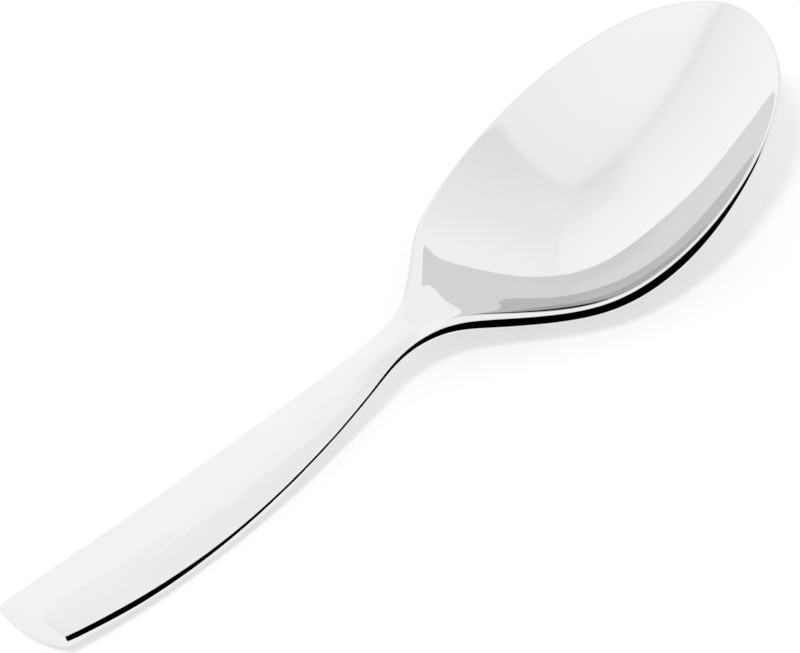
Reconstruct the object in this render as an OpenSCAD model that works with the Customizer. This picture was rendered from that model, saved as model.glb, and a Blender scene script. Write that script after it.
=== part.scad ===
// Serving spoon, forged in one piece from polished stainless steel.
// It lies on a table with the open side of the bowl up. The tail of the
// handle is at -X, the tip of the bowl at +X, and the table is at z = 0.
// The origin is on the table, under the middle of the spoon's length.
// Bowl, neck and handle are sections of the one forging. They meet face to
// face on flat planes across the spoon.

/* [Handle] */
// Length of the handle, from its tail end to the neck
handle_len = 104; // [80:1:150]
// Width across the top edges at the tail end
tail_w = 17.8; // [12:0.2:26]
// Greatest width across the top edges of the handle
handle_w = 21.6; // [14:0.2:30]
// Height of the side at the tail end, from its top edge to its lower edge
tail_side_t = 2.7; // [1.5:0.1:5]
// Height of the side along the middle of the handle
handle_side_t = 2.1; // [1.2:0.1:4]
// Rise of the crowned top above its side edges
handle_crown = 1.5; // [0.4:0.1:3]
// Swell of the underside below the sides
handle_belly = 2.3; // [0.8:0.1:4]
// Height of the underside of the tail above the table
tail_lift = 1.8; // [0:0.1:6]

/* [Neck] */
// Length of the neck, from the handle to the bowl
neck_len = 26; // [16:1:40]
// Width across the top edges at the narrowest place
neck_w = 8.9; // [6:0.1:14]
// Height of the side at the narrowest place
neck_side_t = 1.4; // [0.8:0.1:4]
// Rise of the top of the neck above its side edges
neck_crown = 0.6; // [0.2:0.1:2]
// Swell of the underside of the neck
neck_belly = 1.9; // [0.6:0.1:4]
// Height of the underside of the neck above the table
neck_lift = 9.7; // [4:0.1:16]

/* [Bowl] */
// Length of the bowl, from the neck to the tip
bowl_len = 121; // [90:1:150]
// Greatest width across the top edges of the rim
bowl_w = 66.4; // [50:0.2:84]
// Height of the rim above the table beside the heel of the bowl
heel_h = 11.5; // [9:0.1:16]
// Height of the rim above the table where the bowl is widest
side_h = 18.9; // [14:0.1:26]
// Height of the rim above the table at the tip
tip_h = 40.8; // [30:0.1:50]
// Height of the edge of the rim where the bowl is widest
rim_t = 2.2; // [1.4:0.1:3.2]
// Width of the flat on top of the rim beside the heel of the bowl
rim_land = 2.8; // [0.8:0.1:3.4]
// Thickness of the bottom of the bowl
bowl_t = 2; // [1.2:0.1:3]

/* [Edges] */
// Lean of the upper part of the sides and of the rim's edge from upright, in degrees
edge_lean = 32; // [20:1:40]
// Radius of the polished edge on top of the sides and the rim
edge_r = 0.35; // [0.1:0.05:0.6]
// Radius of the turn below the leaning part
turn_r = 0.4; // [0.1:0.05:0.6]
// Radius of the polished edge under the sides and the rim
under_r = 0.3; // [0.1:0.05:0.5]
// Depth of the small worn flats that the spoon rests on
rest_flat = 0.15; // [0.05:0.01:0.3]

/* [Smoothness] */
// Facets across the top and across the underside, an even number
facets_across = 24; // [8:2:28]
// Rings between two stations of the handle and the neck
rings_handle = 5; // [2:1:6]
// Rings between two stations of the bowl
rings_bowl = 6; // [3:1:7]

/* [Hidden] */

total_len = handle_len + neck_len + bowl_len;
x_tail = -total_len / 2;
x_neck = x_tail + handle_len;
x_bowl = x_neck + neck_len;

// Stations along the handle, as shares of its length, and what the handle
// has there as shares of its width, its side, its crown and its belly.
handle_x_shares = [0.19, 0.40, 0.61, 0.82, 1.00];
handle_w_shares = [0.965, 1.00, 0.94, 0.775, 0.558];
handle_side_shares = [1.03, 0.98, 1.00, 0.61, 0.41];
handle_crown_shares = [1.00, 0.98, 0.90, 0.72, 0.52];
handle_belly_shares = [1.04, 0.95, 0.87, 0.81, 0.75];
// Height of the leaning part there, as shares of the side's height
tail_face_share = 0.42;
handle_face_shares = [0.555, 0.43, 0.30, 0.45, 0.68];
// Height of the underside there, as shares of the neck's height
handle_lift_shares = [0.06, 0.00, 0.105, 0.435, 0.795];

// The neck's narrowest place, as a share of its length, and the leaning
// part of its side
neck_x_share = 0.54;
neck_face_share = 0.60;
// Width of the narrow flat along the top edge of handle and neck, as a
// share of the flat on the rim
edge_land_share = 0.06;

// Stations along the bowl, as shares of its length, the width there as
// shares of the greatest width, and the height of the underside as shares
// of the height that the rim has there
bowl_x_shares = [0.00, 0.075, 0.165, 0.275, 0.40, 0.54, 0.69, 0.83, 0.94];
bowl_w_shares = [0.188, 0.33, 0.549, 0.806, 0.953, 1.00, 0.953, 0.80, 0.512];
bowl_sole_shares = [0.72, 0.74, 0.59, 0.195, 0.00, 0.085, 0.29, 0.56, 0.81];
// Thickness of the bottom there, and of the rim, as shares of their sizes
floor_t_shares = [1.85, 1.35, 1.00, 1.00, 1.00, 1.00, 1.00, 1.00, 1.00];
rim_t_shares = [0.95, 0.93, 0.90, 0.91, 1.03, 1.04, 0.97, 0.80, 0.65];
tip_t_share = 0.59;
// The leaning part of the rim's edge, as shares of the edge's height, its
// lean as shares of the full lean, and the flat on top of the rim
bowl_face_shares = [0.64, 0.88, 0.89, 0.85, 0.78, 0.61, 0.35, 0.35, 0.42];
tip_face_share = 0.40;
bowl_lean_shares = [1.00, 1.00, 1.00, 1.00, 1.00, 1.00, 0.85, 0.70, 0.60];
tip_lean_share = 0.55;
rim_land_shares = [0.55, 1.00, 0.78, 0.33, 0.15, 0.12, 0.11, 0.10, 0.10];
tip_land_share = 0.10;
// How much steeper the wall of the bowl gets towards the rim
steep_shares = [0.90, 0.85, 0.34, 0.06, 0.10, 0.14, 0.16, 0.12, 0.10];
// Height of the rim at the stations before the heel, as shares of the
// heel's height, between heel and side, as a share of the side's, and in
// front, as shares of the tip's
back_rim_shares = [1.22, 1.16, 1.015];
cheek_rim_share = 0.75;
front_rim_shares = [0.615, 0.775, 0.915];
rim_heights = concat(
    back_rim_shares * heel_h, [heel_h, cheek_rim_share * side_h, side_h], front_rim_shares * tip_h);

// A rounded edge takes at most these shares of the face beside it
fillet_share = 0.8;
under_fillet_share = 0.6;

// A station: place, half width over the top edges, height of the top edge
// or rim, height of the side, height of the underside, height of the top,
// steepness, height of the leaning part, its lean, width of the flat
function station(x, w, side, lift, belly, crown, face_share) =
    [x, w / 2, lift + belly + side, side, lift, lift + belly + side + crown, 0,
     face_share * side, edge_lean, edge_land_share * rim_land];

function bowl_station(i) =
    let (
        rim = rim_heights[i],
        side = rim_t_shares[i] * rim_t,
        sole = bowl_sole_shares[i] * rim)
    [x_bowl + bowl_x_shares[i] * bowl_len,
     bowl_w_shares[i] * bowl_w / 2,
     rim,
     side,
     sole,
     sole + floor_t_shares[i] * bowl_t,
     steep_shares[i],
     bowl_face_shares[i] * side,
     bowl_lean_shares[i] * edge_lean,
     rim_land_shares[i] * rim_land];

tail_station = station(
    x_tail, tail_w, tail_side_t, tail_lift, handle_belly, handle_crown, tail_face_share);

handle_stations = [
    for (i = [0 : len(handle_x_shares) - 1])
        station(
            x_tail + handle_x_shares[i] * handle_len,
            handle_w_shares[i] * handle_w,
            handle_side_shares[i] * handle_side_t,
            handle_lift_shares[i] * neck_lift,
            handle_belly_shares[i] * handle_belly,
            handle_crown_shares[i] * handle_crown,
            handle_face_shares[i])
];

neck_station = station(
    x_neck + neck_x_share * neck_len, neck_w, neck_side_t, neck_lift, neck_belly, neck_crown,
    neck_face_share);

bowl_stations = [for (i = [0 : len(bowl_x_shares) - 1]) bowl_station(i)];

// The tip is one point of the top edge, and the rim's edge leans out from it
tip_t = tip_t_share * rim_t;
tip_face = tip_face_share * tip_t;
tip_lean = tip_lean_share * edge_lean;
tip_station = [
    x_bowl + bowl_len - tip_face * tan(tip_lean), 0, tip_h, tip_t, tip_h - tip_t, tip_h,
    steep_shares[len(steep_shares) - 1], tip_face, tip_lean, tip_land_share * rim_land];

stations = concat([tail_station], handle_stations, [neck_station], bowl_stations, [tip_station]);
last = len(stations) - 1;
at_neck = len(handle_stations);
at_bowl = at_neck + 2;

// A smooth curve through all the stations. Its control points are found by
// stepping them towards the stations until the curve passes through them.
// At the tip the curve goes on as its own mirror image, so the rim is round.
function mirrored(s) = [s[0], -s[1], for (k = [2 : len(s) - 1]) s[k]];
function before(c) = 2 * c[0] - c[1];
function after(c) = mirrored(c[last - 1]);
function at(c, i) = i < 0 ? before(c) : i > last ? after(c) : c[i];
function settle(c, n) =
    n < 1 ? c :
    settle([for (i = [0 : last]) c[i] + stations[i] - (at(c, i - 1) + 4 * c[i] + at(c, i + 1)) / 6],
           n - 1);
settling_steps = 36;
controls = settle(stations, settling_steps);

function curve(t) =
    let (i = min(floor(t), last - 1), f = t - i, g = 1 - f)
    (at(controls, i - 1) * g * g * g
     + at(controls, i) * (4 - 6 * f * f + 3 * f * f * f)
     + at(controls, i + 1) * (4 - 6 * g * g + 3 * g * g * g)
     + at(controls, i + 2) * f * f * f) / 6;

// Direction of the curve, to turn the rounded rim square to the outline
function slope(t) =
    let (i = min(floor(t), last - 1), f = t - i, g = 1 - f)
    (at(controls, i + 2) * f * f
     - at(controls, i - 1) * g * g
     + at(controls, i + 1) * (1 + 2 * f - 3 * f * f)
     - at(controls, i) * (1 + 2 * g - 3 * g * g)) / 2;

// Outward direction of the outline from above. Up to the widest place of
// the bowl it stays square to the length, so that the sections are flat.
function outward(t) =
    let (d = slope(t), n = [max(0, -d[1]), d[0]])
    t <= at_bowl ? [0, 1] : t >= last ? [1, 0] : n / norm(n);

// Depth of the section at the share v of its half width
function dome(v, steep) = (1 - v * v) * (1 + steep * v * v);

// A rounded corner p between two faces of a section. Angles are those of
// the faces' outward directions, 0 to the side and 90 up. Points are given
// as [distance out from the top edge, height].
function rounded(p, r, from, to, steps) =
    let (c = p - r * [cos(from) + cos(to), sin(from) + sin(to)] / (1 + cos(from - to)))
    [for (k = [0 : steps]) let (a = from + (to - from) * k / steps) c + r * [cos(a), sin(a)]];

edge_steps = 3;
turn_steps = 2;
under_steps = 2;

// Half of one section, from the middle of the top to the middle of the
// underside, on the +Y side. Its points lie closer together near the rim.
half_across = facets_across / 2;
crowding_share = 0.25;
function across(k) =
    let (s = k / half_across) s * (1 + crowding_share - crowding_share * s * s);

function half_section(t) =
    let (
        s = curve(t),
        n = outward(t),
        x = s[0],
        w = max(s[1], 0),
        rim = s[2],
        side = s[3],
        low = rim - side,
        sole = s[4] - rest_flat,
        top = s[5],
        steep = s[6],
        face = s[7],
        lean = s[8],
        out = face * tan(lean),
        r_top = min(edge_r, fillet_share * face),
        upright = side - face,
        r_low = min(under_r, under_fillet_share * upright),
        r_turn = min(turn_r, fillet_share * min(face, (upright - r_low) / tan(lean / 2))),
        under = rounded([out, low], r_low, 0, -90, under_steps),
        edge = concat(
            rounded([0, rim], r_top, 90, lean, edge_steps),
            rounded([out, rim - face], r_turn, lean, 0, turn_steps),
            [for (k = [0 : under_steps - 1]) under[k]]),
        in_top = edge[0][0] - s[9],
        in_low = under[under_steps][0],
        w_top = max(w + in_top * n[1], 0),
        w_low = max(w + in_low * n[1], 0))
    concat(
        [for (k = [0 : half_across])
            let (v = across(k))
            [x + in_top * n[0], v * w_top, rim + (top - rim) * dome(v, steep)]],
        [for (p = edge)
            [x + p[0] * n[0], max(w + p[0] * n[1], 0), p[1]]],
        [for (k = [half_across : -1 : 0])
            let (v = across(k))
            [x + in_low * n[0], v * w_low, max(low + (sole - low) * dome(v, steep), 0)]]
    );

// A section is a closed ring of points: the +Y half from top to underside,
// then the -Y half back to the top
half_count = 2 * (half_across + 1) + edge_steps + 1 + turn_steps + 1 + under_steps;
ring_n = 2 * half_count - 2;

function whole(half) =
    concat(half, [for (k = [half_count - 2 : -1 : 1]) [half[k][0], -half[k][1], half[k][2]]]);

// The first section of the handle is drawn in by the edge radius, which
// rounds the tail's end face
function drawn_in(ring, r) =
    let (c = (ring[0] + ring[half_count - 1]) / 2)
    [for (p = ring)
        let (d = norm([p[1] - c[1], p[2] - c[2]]), k = (d - r) / d)
        [p[0], c[1] + (p[1] - c[1]) * k, c[2] + (p[2] - c[2]) * k]];

function moved_x(ring, d) = [for (p = ring) [p[0] + d, p[1], p[2]]];

// The skin of a row of rings, with a flat face on the first one. The last
// one has a flat face too, or is the tip, where both halves are one edge.
function skin(rings, tip) =
    let (
        m = len(rings) - 1,
        n = ring_n,
        under_start = half_count - 1 - half_across,
        folded = function(q) q >= half_count ? n - q : q,
        edge_only = function(q)
            q < half_across ? half_across : q > under_start ? under_start : q,
        id = function(i, j)
            let (q = j % n)
            i * n + (tip && i == m ? edge_only(folded(q)) : q),
        walls = [for (i = [0 : m - 1]) for (j = [0 : n - 1]) each
            [[id(i, j), id(i + 1, j + 1), id(i + 1, j)],
             [id(i, j), id(i, j + 1), id(i + 1, j + 1)]]],
        start = [[for (j = [n - 1 : -1 : 0]) j]],
        finish = tip ? [] : [[for (j = [0 : n - 1]) j + m * n]])
    [for (f = concat(walls, start, finish)) if (f[0] != f[1] && f[1] != f[2] && f[2] != f[0]) f];

module loft(rings, tip) {
    flat_points = [for (r = rings) each r];
    polyhedron(points = flat_points, faces = skin(rings, tip), convexity = 6);
}

function rings_between(t0, t1, steps) =
    [for (k = [0 : (t1 - t0) * steps]) whole(half_section(t0 + k / steps))];

module handle() {
    rings = rings_between(0, at_neck, rings_handle);
    tail = drawn_in(rings[0], edge_r);
    second = moved_x(rings[0], edge_r);
    color("silver")
        loft(concat([tail, second], [for (i = [1 : len(rings) - 1]) rings[i]]), false);
}

module neck() {
    color("gainsboro")
        loft(rings_between(at_neck, at_bowl, rings_handle), false);
}

module bowl() {
    color("lightgray")
        loft(rings_between(at_bowl, last, rings_bowl), true);
}

bowl();
neck();
handle();
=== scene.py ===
# %% [markdown]
# A serving spoon of mirror-polished steel lies on a white table. This lesson
# takes its exact shape from the CAD frame and gives it what the frame can't
# hold: one smooth polished skin without facets, the marks of the polishing
# wheel, and a small studio for the steel to mirror.
#
# All sizes are in metres. The tail of the handle is at -X, the tip of the
# bowl at +X, and the table is at z = 0.

# %% Load the frame
import math

import bmesh
import bpy
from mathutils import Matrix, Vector


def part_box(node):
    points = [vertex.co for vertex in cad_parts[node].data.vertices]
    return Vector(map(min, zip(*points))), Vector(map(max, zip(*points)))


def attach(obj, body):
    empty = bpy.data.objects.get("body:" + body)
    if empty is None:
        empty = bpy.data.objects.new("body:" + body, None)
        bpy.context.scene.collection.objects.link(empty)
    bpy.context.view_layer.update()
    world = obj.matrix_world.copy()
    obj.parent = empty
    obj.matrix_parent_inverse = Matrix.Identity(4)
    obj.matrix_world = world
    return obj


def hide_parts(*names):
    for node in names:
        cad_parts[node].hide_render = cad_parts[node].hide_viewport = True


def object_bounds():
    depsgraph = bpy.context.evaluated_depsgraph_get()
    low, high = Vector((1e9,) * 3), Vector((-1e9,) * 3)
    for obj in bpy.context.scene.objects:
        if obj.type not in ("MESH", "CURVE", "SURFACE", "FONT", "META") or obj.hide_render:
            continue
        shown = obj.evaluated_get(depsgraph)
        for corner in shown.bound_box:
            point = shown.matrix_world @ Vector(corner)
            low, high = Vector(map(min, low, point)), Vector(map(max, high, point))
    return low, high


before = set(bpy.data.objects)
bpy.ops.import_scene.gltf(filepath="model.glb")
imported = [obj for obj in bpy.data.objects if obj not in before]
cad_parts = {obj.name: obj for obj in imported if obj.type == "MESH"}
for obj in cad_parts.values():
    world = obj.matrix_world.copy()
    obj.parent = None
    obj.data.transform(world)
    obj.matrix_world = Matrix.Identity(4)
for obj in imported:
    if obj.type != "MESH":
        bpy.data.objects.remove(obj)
cad_low, cad_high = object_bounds()
MM = 0.001
spoon_length = cad_high.x - cad_low.x
print("spoon length", round(spoon_length / MM, 1), "mm")

# %% [markdown]
# The camera comes first, because a mirror shows nothing but its surroundings
# seen from where the viewer stands. The picture was taken from the tail's
# side with a long lens. A long lens keeps the far bowl from looking small.
# The small shift moves the whole picture, as a shift lens does, and leaves
# the perspective alone.

# %% Camera
camera_azimuth = math.radians(-51.61)
camera_elevation = math.radians(34.0)
camera_distance = 1.0
aim = Vector((0.0, 0.0, 0.011))
lens_mm = 200.43
shift_across = -0.01137
shift_up = 0.01396


def direction(azimuth, elevation):
    """Unit vector to a place round the spoon, azimuth 0 on the -Y side."""
    flat = math.cos(elevation)
    return Vector((math.sin(azimuth) * flat, -math.cos(azimuth) * flat, math.sin(elevation)))


to_camera = direction(camera_azimuth, camera_elevation)
camera_data = bpy.data.cameras.new("camera")
camera_data.sensor_width = 36.0
camera_data.lens = lens_mm
camera_data.shift_x = shift_across
camera_data.shift_y = shift_up
camera = bpy.data.objects.new("camera", camera_data)
camera.location = aim + camera_distance * to_camera
camera.rotation_mode = "QUATERNION"
camera.rotation_quaternion = (-to_camera).to_track_quat("-Z", "Y")
bpy.context.scene.collection.objects.link(camera)
bpy.context.scene.camera = camera
bpy.context.scene.view_settings.view_transform = "Standard"
print("camera at", [round(c, 3) for c in camera.location])

# %% [markdown]
# A real spoon of this kind is one forging, ground and polished all over.
# There are no seams in it. The frame holds it as three sections of flat
# facets, and a mirror shows every facet. The skin could be modelled again
# from nothing, but then its size would be a second guess. So copies of the
# three sections are welded into one, their inner end faces are taken out,
# and pairs of triangles are joined into a regular net of quads. Subdivision
# then rounds the net, which it does well only with quads.

# %% Weld the three sections
SECTIONS = ("handle", "neck", "bowl")
weld_distance = 0.001 * MM
borders = [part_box("neck")[0].x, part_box("neck")[1].x]


def on_border(vertex):
    """True for a vertex on one of the two flat planes between sections."""
    return any(abs(vertex.co.x - x) < weld_distance for x in borders)


net = bmesh.new()
for name in SECTIONS:
    net.from_mesh(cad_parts[name].data)
bmesh.ops.remove_doubles(net, verts=net.verts, dist=weld_distance)
inner_faces = [f for f in net.faces if all(on_border(v) for v in f.verts)]
bmesh.ops.delete(net, geom=inner_faces, context="FACES")
print("welded net:", len(net.verts), "vertices,", len(net.faces), "triangles")

# %% Join the triangles into quads
bmesh.ops.join_triangles(
    net,
    faces=net.faces[:],
    angle_face_threshold=math.pi,
    angle_shape_threshold=math.pi,
    topology_influence=1.0,
)
open_edges = [e for e in net.edges if not e.is_manifold]
quads = [f for f in net.faces if len(f.verts) == 4]
print("quads", len(quads), "of", len(net.faces), "faces, open edges", len(open_edges))

# %% Round the net into a polished skin
smoothing_levels = 2
skin_mesh = bpy.data.meshes.new("skin")
net.to_mesh(skin_mesh)
net.free()
skin = bpy.data.objects.new("skin", skin_mesh)
bpy.context.scene.collection.objects.link(skin)
rounding = skin.modifiers.new("rounding", "SUBSURF")
rounding.levels = smoothing_levels
rounding.render_levels = smoothing_levels
depsgraph = bpy.context.evaluated_depsgraph_get()
smooth_mesh = bpy.data.meshes.new_from_object(skin.evaluated_get(depsgraph))
bpy.data.objects.remove(skin)
print("smooth skin:", len(smooth_mesh.polygons), "faces")

# %% [markdown]
# The skin is cut into bowl, neck and handle again, so that each stays a
# piece of its own. A cut alone would show in the polish, because a mesh
# works out its shading from its own faces only. So each vertex carries the
# direction that it had on the whole skin, and the sections get it back as
# their normals. Side by side they then shade as the one forging does. Each
# section is closed with a flat end face, as in the frame.

# %% Cut the skin into its sections
CARRIED = "polish_normal"


def section(piece_name, node, x_from, x_to):
    """One closed length of the skin that keeps the shading of the whole."""
    part = bmesh.new()
    part.from_mesh(smooth_mesh)
    part.verts.ensure_lookup_table()
    carried = part.verts.layers.float_vector.new(CARRIED)
    for vertex, normal in zip(part.verts, smooth_mesh.vertex_normals):
        vertex[carried] = normal.vector
    outside = [f for f in part.faces if not x_from < f.calc_center_median().x < x_to]
    bmesh.ops.delete(part, geom=outside, context="FACES")
    rims = [e for e in part.edges if e.is_boundary]
    if rims:
        bmesh.ops.holes_fill(part, edges=rims, sides=0)
    for face in part.faces:
        face.smooth = True
    mesh = bpy.data.meshes.new(piece_name)
    part.to_mesh(mesh)
    part.free()
    normals = [item.vector.copy() for item in mesh.attributes[CARRIED].data]
    mesh.normals_split_custom_set_from_vertices(normals)
    mesh.attributes.remove(mesh.attributes[CARRIED])
    piece = bpy.data.objects.new(piece_name, mesh)
    bpy.context.scene.collection.objects.link(piece)
    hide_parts(node)
    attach(piece, "root")
    print(piece_name, len(mesh.polygons), "faces")
    return piece


beyond = spoon_length
handle = section("polished_handle", "handle", -beyond, borders[0])
neck = section("polished_neck", "neck", borders[0], borders[1])
bowl = section("polished_bowl", "bowl", borders[1], beyond)
pieces = (handle, neck, bowl)

# %% [markdown]
# Mirror-polished steel is nearly all reflection. What tells it from chrome
# in a computer picture is how it fails to be perfect. The wheel leaves long
# waves along the spoon, which bend a reflection a little, hairlines finer
# than a hair, and patches where the shine is a touch softer. The handle is
# pushed along the wheel in long strokes, so its waves are deeper, and they
# fade out where the bowl begins. Waves, strokes and hairlines come from one
# node group and the patches from another. Both give out only a value, so the
# material can put it where it is needed.

# %% Helper for node groups


def new_group(name, inputs, outputs):
    """A shader node group with its sockets, and its input and output nodes."""
    group = bpy.data.node_groups.new(name, "ShaderNodeTree")
    for socket_name, kind, default in inputs:
        socket = group.interface.new_socket(socket_name, in_out="INPUT", socket_type=kind)
        if default is not None:
            socket.default_value = default
    for socket_name, kind in outputs:
        group.interface.new_socket(socket_name, in_out="OUTPUT", socket_type=kind)
    return group, group.nodes.new("NodeGroupInput"), group.nodes.new("NodeGroupOutput")


def join(tree, source, target):
    """Links an output socket to an input socket."""
    tree.links.new(source, target)


def feed(tree, value, target):
    """Puts a plain number or another node's output into an input socket."""
    if isinstance(value, float):
        target.default_value = value
    else:
        join(tree, value, target)


def number(tree, operation, first, second):
    """The result of one Math node."""
    node = tree.nodes.new("ShaderNodeMath")
    node.operation = operation
    feed(tree, first, node.inputs[0])
    feed(tree, second, node.inputs[1])
    return node.outputs["Value"]


def blend(tree, first, second, mask):
    """A value that is first where the mask is 0, and second where it is 1."""
    node = tree.nodes.new("ShaderNodeMix")
    feed(tree, mask, node.inputs["Factor"])
    feed(tree, first, node.inputs["A"])
    feed(tree, second, node.inputs["B"])
    return node.outputs["Result"]


FLOAT = "NodeSocketFloat"
VECTOR = "NodeSocketVector"

# %% Node group for the marks of the polishing wheel


def polishing_marks():
    """Noise drawn out along the spoon: 0 to 1, with an average of a half."""
    group, start, end = new_group(
        "polishing_marks",
        [("Vector", VECTOR, None), ("Across", FLOAT, 900.0), ("Along", FLOAT, 12.0)],
        [("Height", FLOAT)],
    )
    stretch = group.nodes.new("ShaderNodeCombineXYZ")
    join(group, start.outputs["Along"], stretch.inputs["X"])
    join(group, start.outputs["Across"], stretch.inputs["Y"])
    join(group, start.outputs["Across"], stretch.inputs["Z"])
    scaled = group.nodes.new("ShaderNodeVectorMath")
    scaled.operation = "MULTIPLY"
    join(group, start.outputs["Vector"], scaled.inputs[0])
    join(group, stretch.outputs["Vector"], scaled.inputs[1])
    noise = group.nodes.new("ShaderNodeTexNoise")
    noise.inputs["Scale"].default_value = 1.0
    noise.inputs["Detail"].default_value = 3.0
    join(group, scaled.outputs["Vector"], noise.inputs["Vector"])
    join(group, noise.outputs["Fac"], end.inputs["Height"])
    return group


marks_group = polishing_marks()
print("node group", marks_group.name)

# %% Node group for haze


def haze():
    """Soft patches where the shine is duller, as a mask from 0 to 1."""
    group, start, end = new_group(
        "haze",
        [("Vector", VECTOR, None), ("Scale", FLOAT, 30.0), ("Low", FLOAT, 0.45), ("High", FLOAT, 0.75)],
        [("Mask", FLOAT)],
    )
    noise = group.nodes.new("ShaderNodeTexNoise")
    noise.inputs["Detail"].default_value = 4.0
    noise.inputs["Distortion"].default_value = 0.6
    join(group, start.outputs["Vector"], noise.inputs["Vector"])
    join(group, start.outputs["Scale"], noise.inputs["Scale"])
    ramp = group.nodes.new("ShaderNodeMapRange")
    ramp.interpolation_type = "SMOOTHSTEP"
    join(group, noise.outputs["Fac"], ramp.inputs["Value"])
    join(group, start.outputs["Low"], ramp.inputs["From Min"])
    join(group, start.outputs["High"], ramp.inputs["From Max"])
    join(group, ramp.outputs["Result"], end.inputs["Mask"])
    return group


haze_group = haze()
print("node group", haze_group.name)

# %% The polished steel
steel_tone = (0.853, 0.847, 0.845, 1.0)
hazed_tone = (0.836, 0.830, 0.828, 1.0)
edge_tint = (0.87, 0.87, 0.87, 1.0)
mirror_roughness = 0.03
hazed_roughness = 0.06
wave_height = 0.012 * MM
hairline_height = 0.0004 * MM

# The strokes end this far past the middle of the spoon, after a fade
stroke_height = 0.25 * MM
stroke_end = 20.0 * MM
stroke_fade = 60.0 * MM


def place_group(tree, group, coordinates, **values):
    """Puts a node group into a node tree, fed by coordinates, and sets its values."""
    node = tree.nodes.new("ShaderNodeGroup")
    node.node_tree = group
    join(tree, coordinates, node.inputs["Vector"])
    for name, value in values.items():
        node.inputs[name].default_value = value
    return node


def bump(tree, height, distance, below):
    """Tilts the shading by a height in 0 to 1 times a distance, on top of below."""
    node = tree.nodes.new("ShaderNodeBump")
    node.inputs["Distance"].default_value = distance
    join(tree, height, node.inputs["Height"])
    if below:
        join(tree, below, node.inputs["Normal"])
    return node.outputs["Normal"]


def polished_steel():
    """Mirror steel. Across and Along are the number of marks per metre."""
    material = bpy.data.materials.new("mirror_polished_steel")
    material.use_nodes = True
    tree = material.node_tree
    shader = tree.nodes["Principled BSDF"]
    shader.inputs["Metallic"].default_value = 1.0
    shader.inputs["Specular Tint"].default_value = edge_tint
    coordinates = tree.nodes.new("ShaderNodeTexCoord").outputs["Object"]

    patches = place_group(tree, haze_group, coordinates, Scale=28.0, Low=0.42, High=0.78)
    hairlines = place_group(tree, marks_group, coordinates, Across=2600.0, Along=60.0)
    waves = place_group(tree, marks_group, coordinates, Across=160.0, Along=9.0)
    strokes = place_group(tree, marks_group, coordinates, Across=240.0, Along=5.0)

    tone = tree.nodes.new("ShaderNodeMix")
    tone.data_type = "RGBA"
    tone.inputs["A"].default_value = steel_tone
    tone.inputs["B"].default_value = hazed_tone
    join(tree, patches.outputs["Mask"], tone.inputs["Factor"])
    join(tree, tone.outputs["Result"], shader.inputs["Base Color"])

    shine = tree.nodes.new("ShaderNodeMapRange")
    shine.inputs["To Min"].default_value = mirror_roughness
    shine.inputs["To Max"].default_value = hazed_roughness
    streaked = number(tree, "MULTIPLY", patches.outputs["Mask"], hairlines.outputs["Height"])
    join(tree, streaked, shine.inputs["Value"])
    join(tree, shine.outputs["Result"], shader.inputs["Roughness"])

    length = tree.nodes.new("ShaderNodeSeparateXYZ")
    join(tree, coordinates, length.inputs["Vector"])
    on_handle = tree.nodes.new("ShaderNodeMapRange")
    on_handle.interpolation_type = "SMOOTHSTEP"
    on_handle.inputs["From Min"].default_value = stroke_end
    on_handle.inputs["From Max"].default_value = stroke_end - stroke_fade
    join(tree, length.outputs["X"], on_handle.inputs["Value"])
    faded = number(tree, "MULTIPLY", strokes.outputs["Height"], on_handle.outputs["Result"])
    stroked = bump(tree, faded, stroke_height, None)
    waved = bump(tree, waves.outputs["Height"], wave_height, stroked)
    finished = bump(tree, hairlines.outputs["Height"], hairline_height, waved)
    join(tree, finished, shader.inputs["Normal"])
    return material


steel = polished_steel()
for piece in pieces:
    piece.data.materials.clear()
    piece.data.materials.append(steel)
print("material", steel.name, "on", len(pieces), "pieces")

# %% [markdown]
# The table is matt white, and in the picture it is as white as paper. Under
# plain light a matt sheet never renders as pure white, because it gives back
# only a part of the light. So the table has a pale grey of its own, which the
# light fills up and a shadow takes away. A fixed share of white is added on
# top, but only where the camera or the polished steel looks at it. Both
# together are a touch over 1, which is white, so the table stays white where
# the lamp is a little weaker, and the shadow stays.

# %% Table
floor_half = 9.0
floor_tone = 0.62
floor_lift = 0.42


def seen_directly(tree):
    """1 for rays from the camera and from mirrors and glass, 0 for others."""
    path = tree.nodes.new("ShaderNodeLightPath").outputs
    either = number(tree, "MAXIMUM", path["Is Camera Ray"], path["Is Glossy Ray"])
    return number(tree, "MAXIMUM", either, path["Is Transmission Ray"])


def table_white():
    material = bpy.data.materials.new("table_white")
    material.use_nodes = True
    tree = material.node_tree
    shader = tree.nodes["Principled BSDF"]
    shader.inputs["Base Color"].default_value = (floor_tone, floor_tone, floor_tone, 1.0)
    shader.inputs["Roughness"].default_value = 1.0
    shader.inputs["Specular IOR Level"].default_value = 0.0
    shader.inputs["Emission Color"].default_value = (1.0, 1.0, 1.0, 1.0)
    lift = number(tree, "MULTIPLY", seen_directly(tree), floor_lift)
    join(tree, lift, shader.inputs["Emission Strength"])
    return material


floor_net = bmesh.new()
bmesh.ops.create_grid(floor_net, x_segments=1, y_segments=1, size=floor_half)
floor_mesh = bpy.data.meshes.new("table")
floor_net.to_mesh(floor_mesh)
floor_net.free()
table = bpy.data.objects.new("table", floor_mesh)
table.data.materials.append(table_white())
bpy.context.scene.collection.objects.link(table)
print("table", 2 * floor_half, "m wide, tone", floor_tone)

# %% [markdown]
# The light has two parts that add up to 1, so a colour renders about as it is
# written. Most of it comes evenly from all round. The rest comes from one lamp
# to the left of the camera, and throws the spoon's soft shadow to the far
# right. The lamp isn't let into the polish, where it would be a hard white
# spot.

# %% Key lamp
key_share = 0.28
room_share = 1.0 - key_share
key_azimuth = math.radians(-67.0)
key_elevation = math.radians(47.5)
key_distance = 2.4
key_size = 0.28

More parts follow.
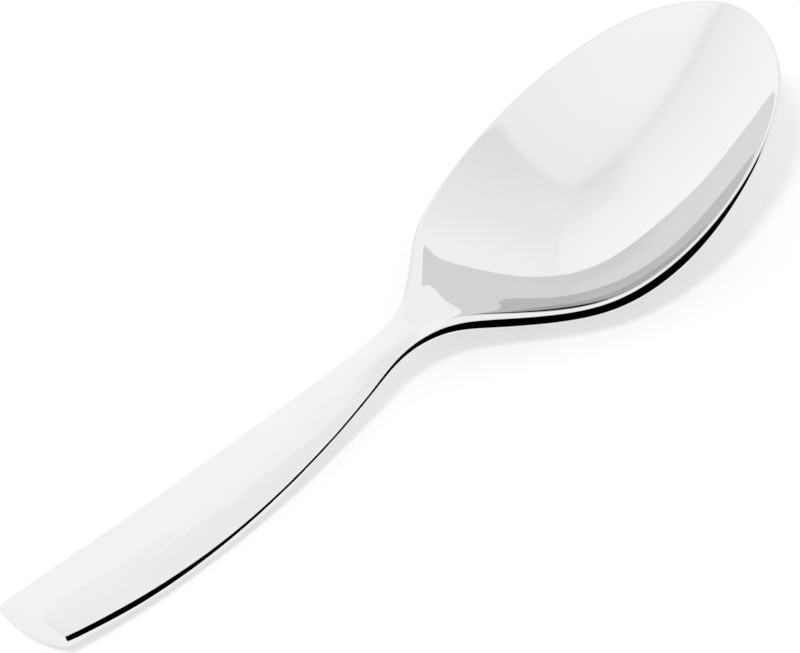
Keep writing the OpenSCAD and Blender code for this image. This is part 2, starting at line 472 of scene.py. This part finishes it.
key_direction = direction(key_azimuth, key_elevation)
key_data = bpy.data.lights.new("key_lamp", "AREA")
key_data.shape = "SQUARE"
key_data.size = key_size
key_data.energy = key_share * (math.pi * key_distance) ** 2 / key_direction.z
key_lamp = bpy.data.objects.new("key_lamp", key_data)
key_lamp.location = key_distance * key_direction
key_lamp.rotation_mode = "QUATERNION"
key_lamp.rotation_quaternion = (-key_direction).to_track_quat("-Z", "Y")
key_lamp.visible_camera = False
key_lamp.visible_glossy = False
bpy.context.scene.collection.objects.link(key_lamp)
print("key lamp", round(key_data.energy, 1), "W")

# %% [markdown]
# The inside of the bowl tells how the room was made. Three pale fields meet
# there in one corner: they are the three cloth sheets of a light tent, and
# their seams run together over the work. Such a tent could be modelled, but
# only the polish ever sees it. So the world's own shader paints it by
# direction: each sheet has a tone that rises slowly towards its brightest
# side, and each seam is a plane through the spoon and two places on the seam.

# %% Seams of the tent
apex_azimuth = math.radians(100.0)
apex_elevation = math.radians(78.0)
apex = direction(apex_azimuth, apex_elevation)


def seam(azimuth):
    """Vector square to the seam that reaches the table at this azimuth."""
    return apex.cross(direction(math.radians(azimuth), 0.0)).normalized()


front_seam = seam(9.0)
far_seam = seam(132.0)
left_seam = seam(251.0)
print("seams meet at", [round(c, 2) for c in apex])

# %% Node group for one side of a seam


def past_seam():
    """Mask of the room on the positive side of a seam, with a soft border."""
    group, start, end = new_group(
        "past_seam",
        [
            ("Vector", VECTOR, None),
            ("Seam", VECTOR, None),
            ("From", FLOAT, -0.05),
            ("To", FLOAT, 0.05),
        ],
        [("Mask", FLOAT)],
    )
    side = group.nodes.new("ShaderNodeVectorMath")
    side.operation = "DOT_PRODUCT"
    join(group, start.outputs["Vector"], side.inputs[0])
    join(group, start.outputs["Seam"], side.inputs[1])
    border = group.nodes.new("ShaderNodeMapRange")
    border.interpolation_type = "SMOOTHSTEP"
    join(group, side.outputs["Value"], border.inputs["Value"])
    join(group, start.outputs["From"], border.inputs["From Min"])
    join(group, start.outputs["To"], border.inputs["From Max"])
    join(group, border.outputs["Result"], end.inputs["Mask"])
    return group


seam_group = past_seam()
print("node group", seam_group.name)

# %% Node group for the tone of one sheet


def sheet_tone():
    """Tone of a sheet, from Tone square to its bright side to Tone + Rise."""
    group, start, end = new_group(
        "sheet_tone",
        [
            ("Vector", VECTOR, None),
            ("Bright side", VECTOR, None),
            ("Tone", FLOAT, 0.9),
            ("Rise", FLOAT, 0.1),
        ],
        [("Tone", FLOAT)],
    )
    side = group.nodes.new("ShaderNodeVectorMath")
    side.operation = "DOT_PRODUCT"
    join(group, start.outputs["Vector"], side.inputs[0])
    join(group, start.outputs["Bright side"], side.inputs[1])
    rising = group.nodes.new("ShaderNodeMath")
    rising.operation = "MULTIPLY_ADD"
    join(group, side.outputs["Value"], rising.inputs[0])
    join(group, start.outputs["Rise"], rising.inputs[1])
    join(group, start.outputs["Tone"], rising.inputs[2])
    join(group, rising.outputs["Value"], end.inputs["Tone"])
    return group


sheet_group = sheet_tone()
print("node group", sheet_group.name)

# %% The world
world = bpy.data.worlds.new("light_tent")
world.use_nodes = True
bpy.context.scene.world = world
room = world.node_tree
look = room.nodes.new("ShaderNodeTexCoord").outputs["Generated"]


def sheet(azimuth, tone, rise):
    """The tone of one sheet, brightest towards the azimuth."""
    bright_side = direction(math.radians(azimuth), 0.0)
    values = {"Bright side": bright_side, "Tone": tone, "Rise": rise}
    return place_group(room, sheet_group, look, **values).outputs["Tone"]


def beyond_seam(seam_normal, begins, ends):
    """Mask of the room beyond a seam, from 0 where it begins to 1 where it ends."""
    values = {"Seam": seam_normal, "From": begins, "To": ends}
    return place_group(room, seam_group, look, **values).outputs["Mask"]


print("world", world.name)

# %% The three sheets
left_sheet = sheet(azimuth=-80.0, tone=0.99, rise=0.11)
front_sheet = sheet(azimuth=118.0, tone=0.865, rise=0.19)
far_sheet = sheet(azimuth=158.0, tone=0.96, rise=0.14)
print("three sheets")

# %% Shade of the far sheet, round the place where the seams meet
shade_depth = 0.08
shade_begins = math.cos(math.radians(26.0))
shade_full = math.cos(math.radians(6.0))
overhead = beyond_seam(apex, shade_begins, shade_full)
far_sheet = number(room, "SUBTRACT", far_sheet, number(room, "MULTIPLY", overhead, shade_depth))
print("shade", shade_depth)

# %% Join the sheets along their seams
front_softness = 0.025
far_softness = 0.02
left_softness = 0.05
in_front = beyond_seam(front_seam, -front_softness, front_softness)
past_far = beyond_seam(far_seam, -far_softness, far_softness)
in_left = beyond_seam(left_seam, -left_softness, left_softness)
behind = number(room, "MULTIPLY", past_far, number(room, "SUBTRACT", 1.0, in_left))
tent = blend(room, left_sheet, front_sheet, in_front)
tent = blend(room, tent, far_sheet, behind)
print("seam softness", front_softness, far_softness, left_softness)

# %% Crease along the left seam
crease_half = 0.17
crease_depth = 0.045
rising = beyond_seam(left_seam, -crease_half, 0.0)
falling = number(room, "SUBTRACT", 1.0, beyond_seam(left_seam, 0.0, crease_half))
not_front = number(room, "SUBTRACT", 1.0, in_front)
crease = number(room, "MULTIPLY", number(room, "MULTIPLY", rising, falling), not_front)
tent = number(room, "SUBTRACT", tent, number(room, "MULTIPLY", crease, crease_depth))
print("crease", crease_depth)

# %% Gap between the sheets and the table
gap_top = 0.05
gap_tone = 0.45
above_gap = beyond_seam(Vector((0.0, 0.0, 1.0)), 0.0, gap_top)
tent = number(room, "MULTIPLY", tent, blend(room, gap_tone, 1.0, above_gap))
print("gap tone", gap_tone)

# %% Show the tent to the polish only
tent_colour = (1.010, 0.997, 0.993, 1.0)
path = room.nodes.new("ShaderNodeLightPath")
plain = blend(room, room_share, 1.0, path.outputs["Is Camera Ray"])
strength = blend(room, plain, tent, path.outputs["Is Glossy Ray"])
join(room, strength, room.nodes["Background"].inputs["Strength"])
room.nodes["Background"].inputs["Color"].default_value = tent_colour
print("room light", room_share, "key light", key_share)

# %% [markdown]
# A polished edge looks like steel only if it has something dark to mirror.
# Photographers put a black card low beside the work for this. The card here
# is a low curved wall on the front right. It shows only in the polish.

# %% Black card
card_radius = 1.6
card_from = -33.0
card_to = 52.0
card_top = math.radians(27.0)
card_steps = 24
card_foot = 1.0 * MM


def black_card():
    """A low wall round part of the table, spun from one upright edge."""
    net = bmesh.new()
    start = direction(math.radians(card_from), 0.0) * card_radius
    foot = net.verts.new(start + Vector((0.0, 0.0, card_foot)))
    head = net.verts.new(start + Vector((0.0, 0.0, card_radius * math.tan(card_top))))
    edge = net.edges.new((foot, head))
    bmesh.ops.spin(
        net,
        geom=[foot, head, edge],
        cent=(0.0, 0.0, 0.0),
        axis=(0.0, 0.0, 1.0),
        angle=math.radians(card_to - card_from),
        steps=card_steps,
        use_merge=False,
    )
    mesh = bpy.data.meshes.new("black_card")
    net.to_mesh(mesh)
    net.free()
    material = bpy.data.materials.new("card_black")
    material.use_nodes = True
    shader = material.node_tree.nodes["Principled BSDF"]
    shader.inputs["Base Color"].default_value = (0.0, 0.0, 0.0, 1.0)
    shader.inputs["Specular IOR Level"].default_value = 0.0
    mesh.materials.append(material)
    card = bpy.data.objects.new("black_card", mesh)
    card.visible_camera = False
    card.visible_diffuse = False
    card.visible_shadow = False
    card.visible_transmission = False
    bpy.context.scene.collection.objects.link(card)
    return card


black_card()
print("black card", card_radius, "m away")
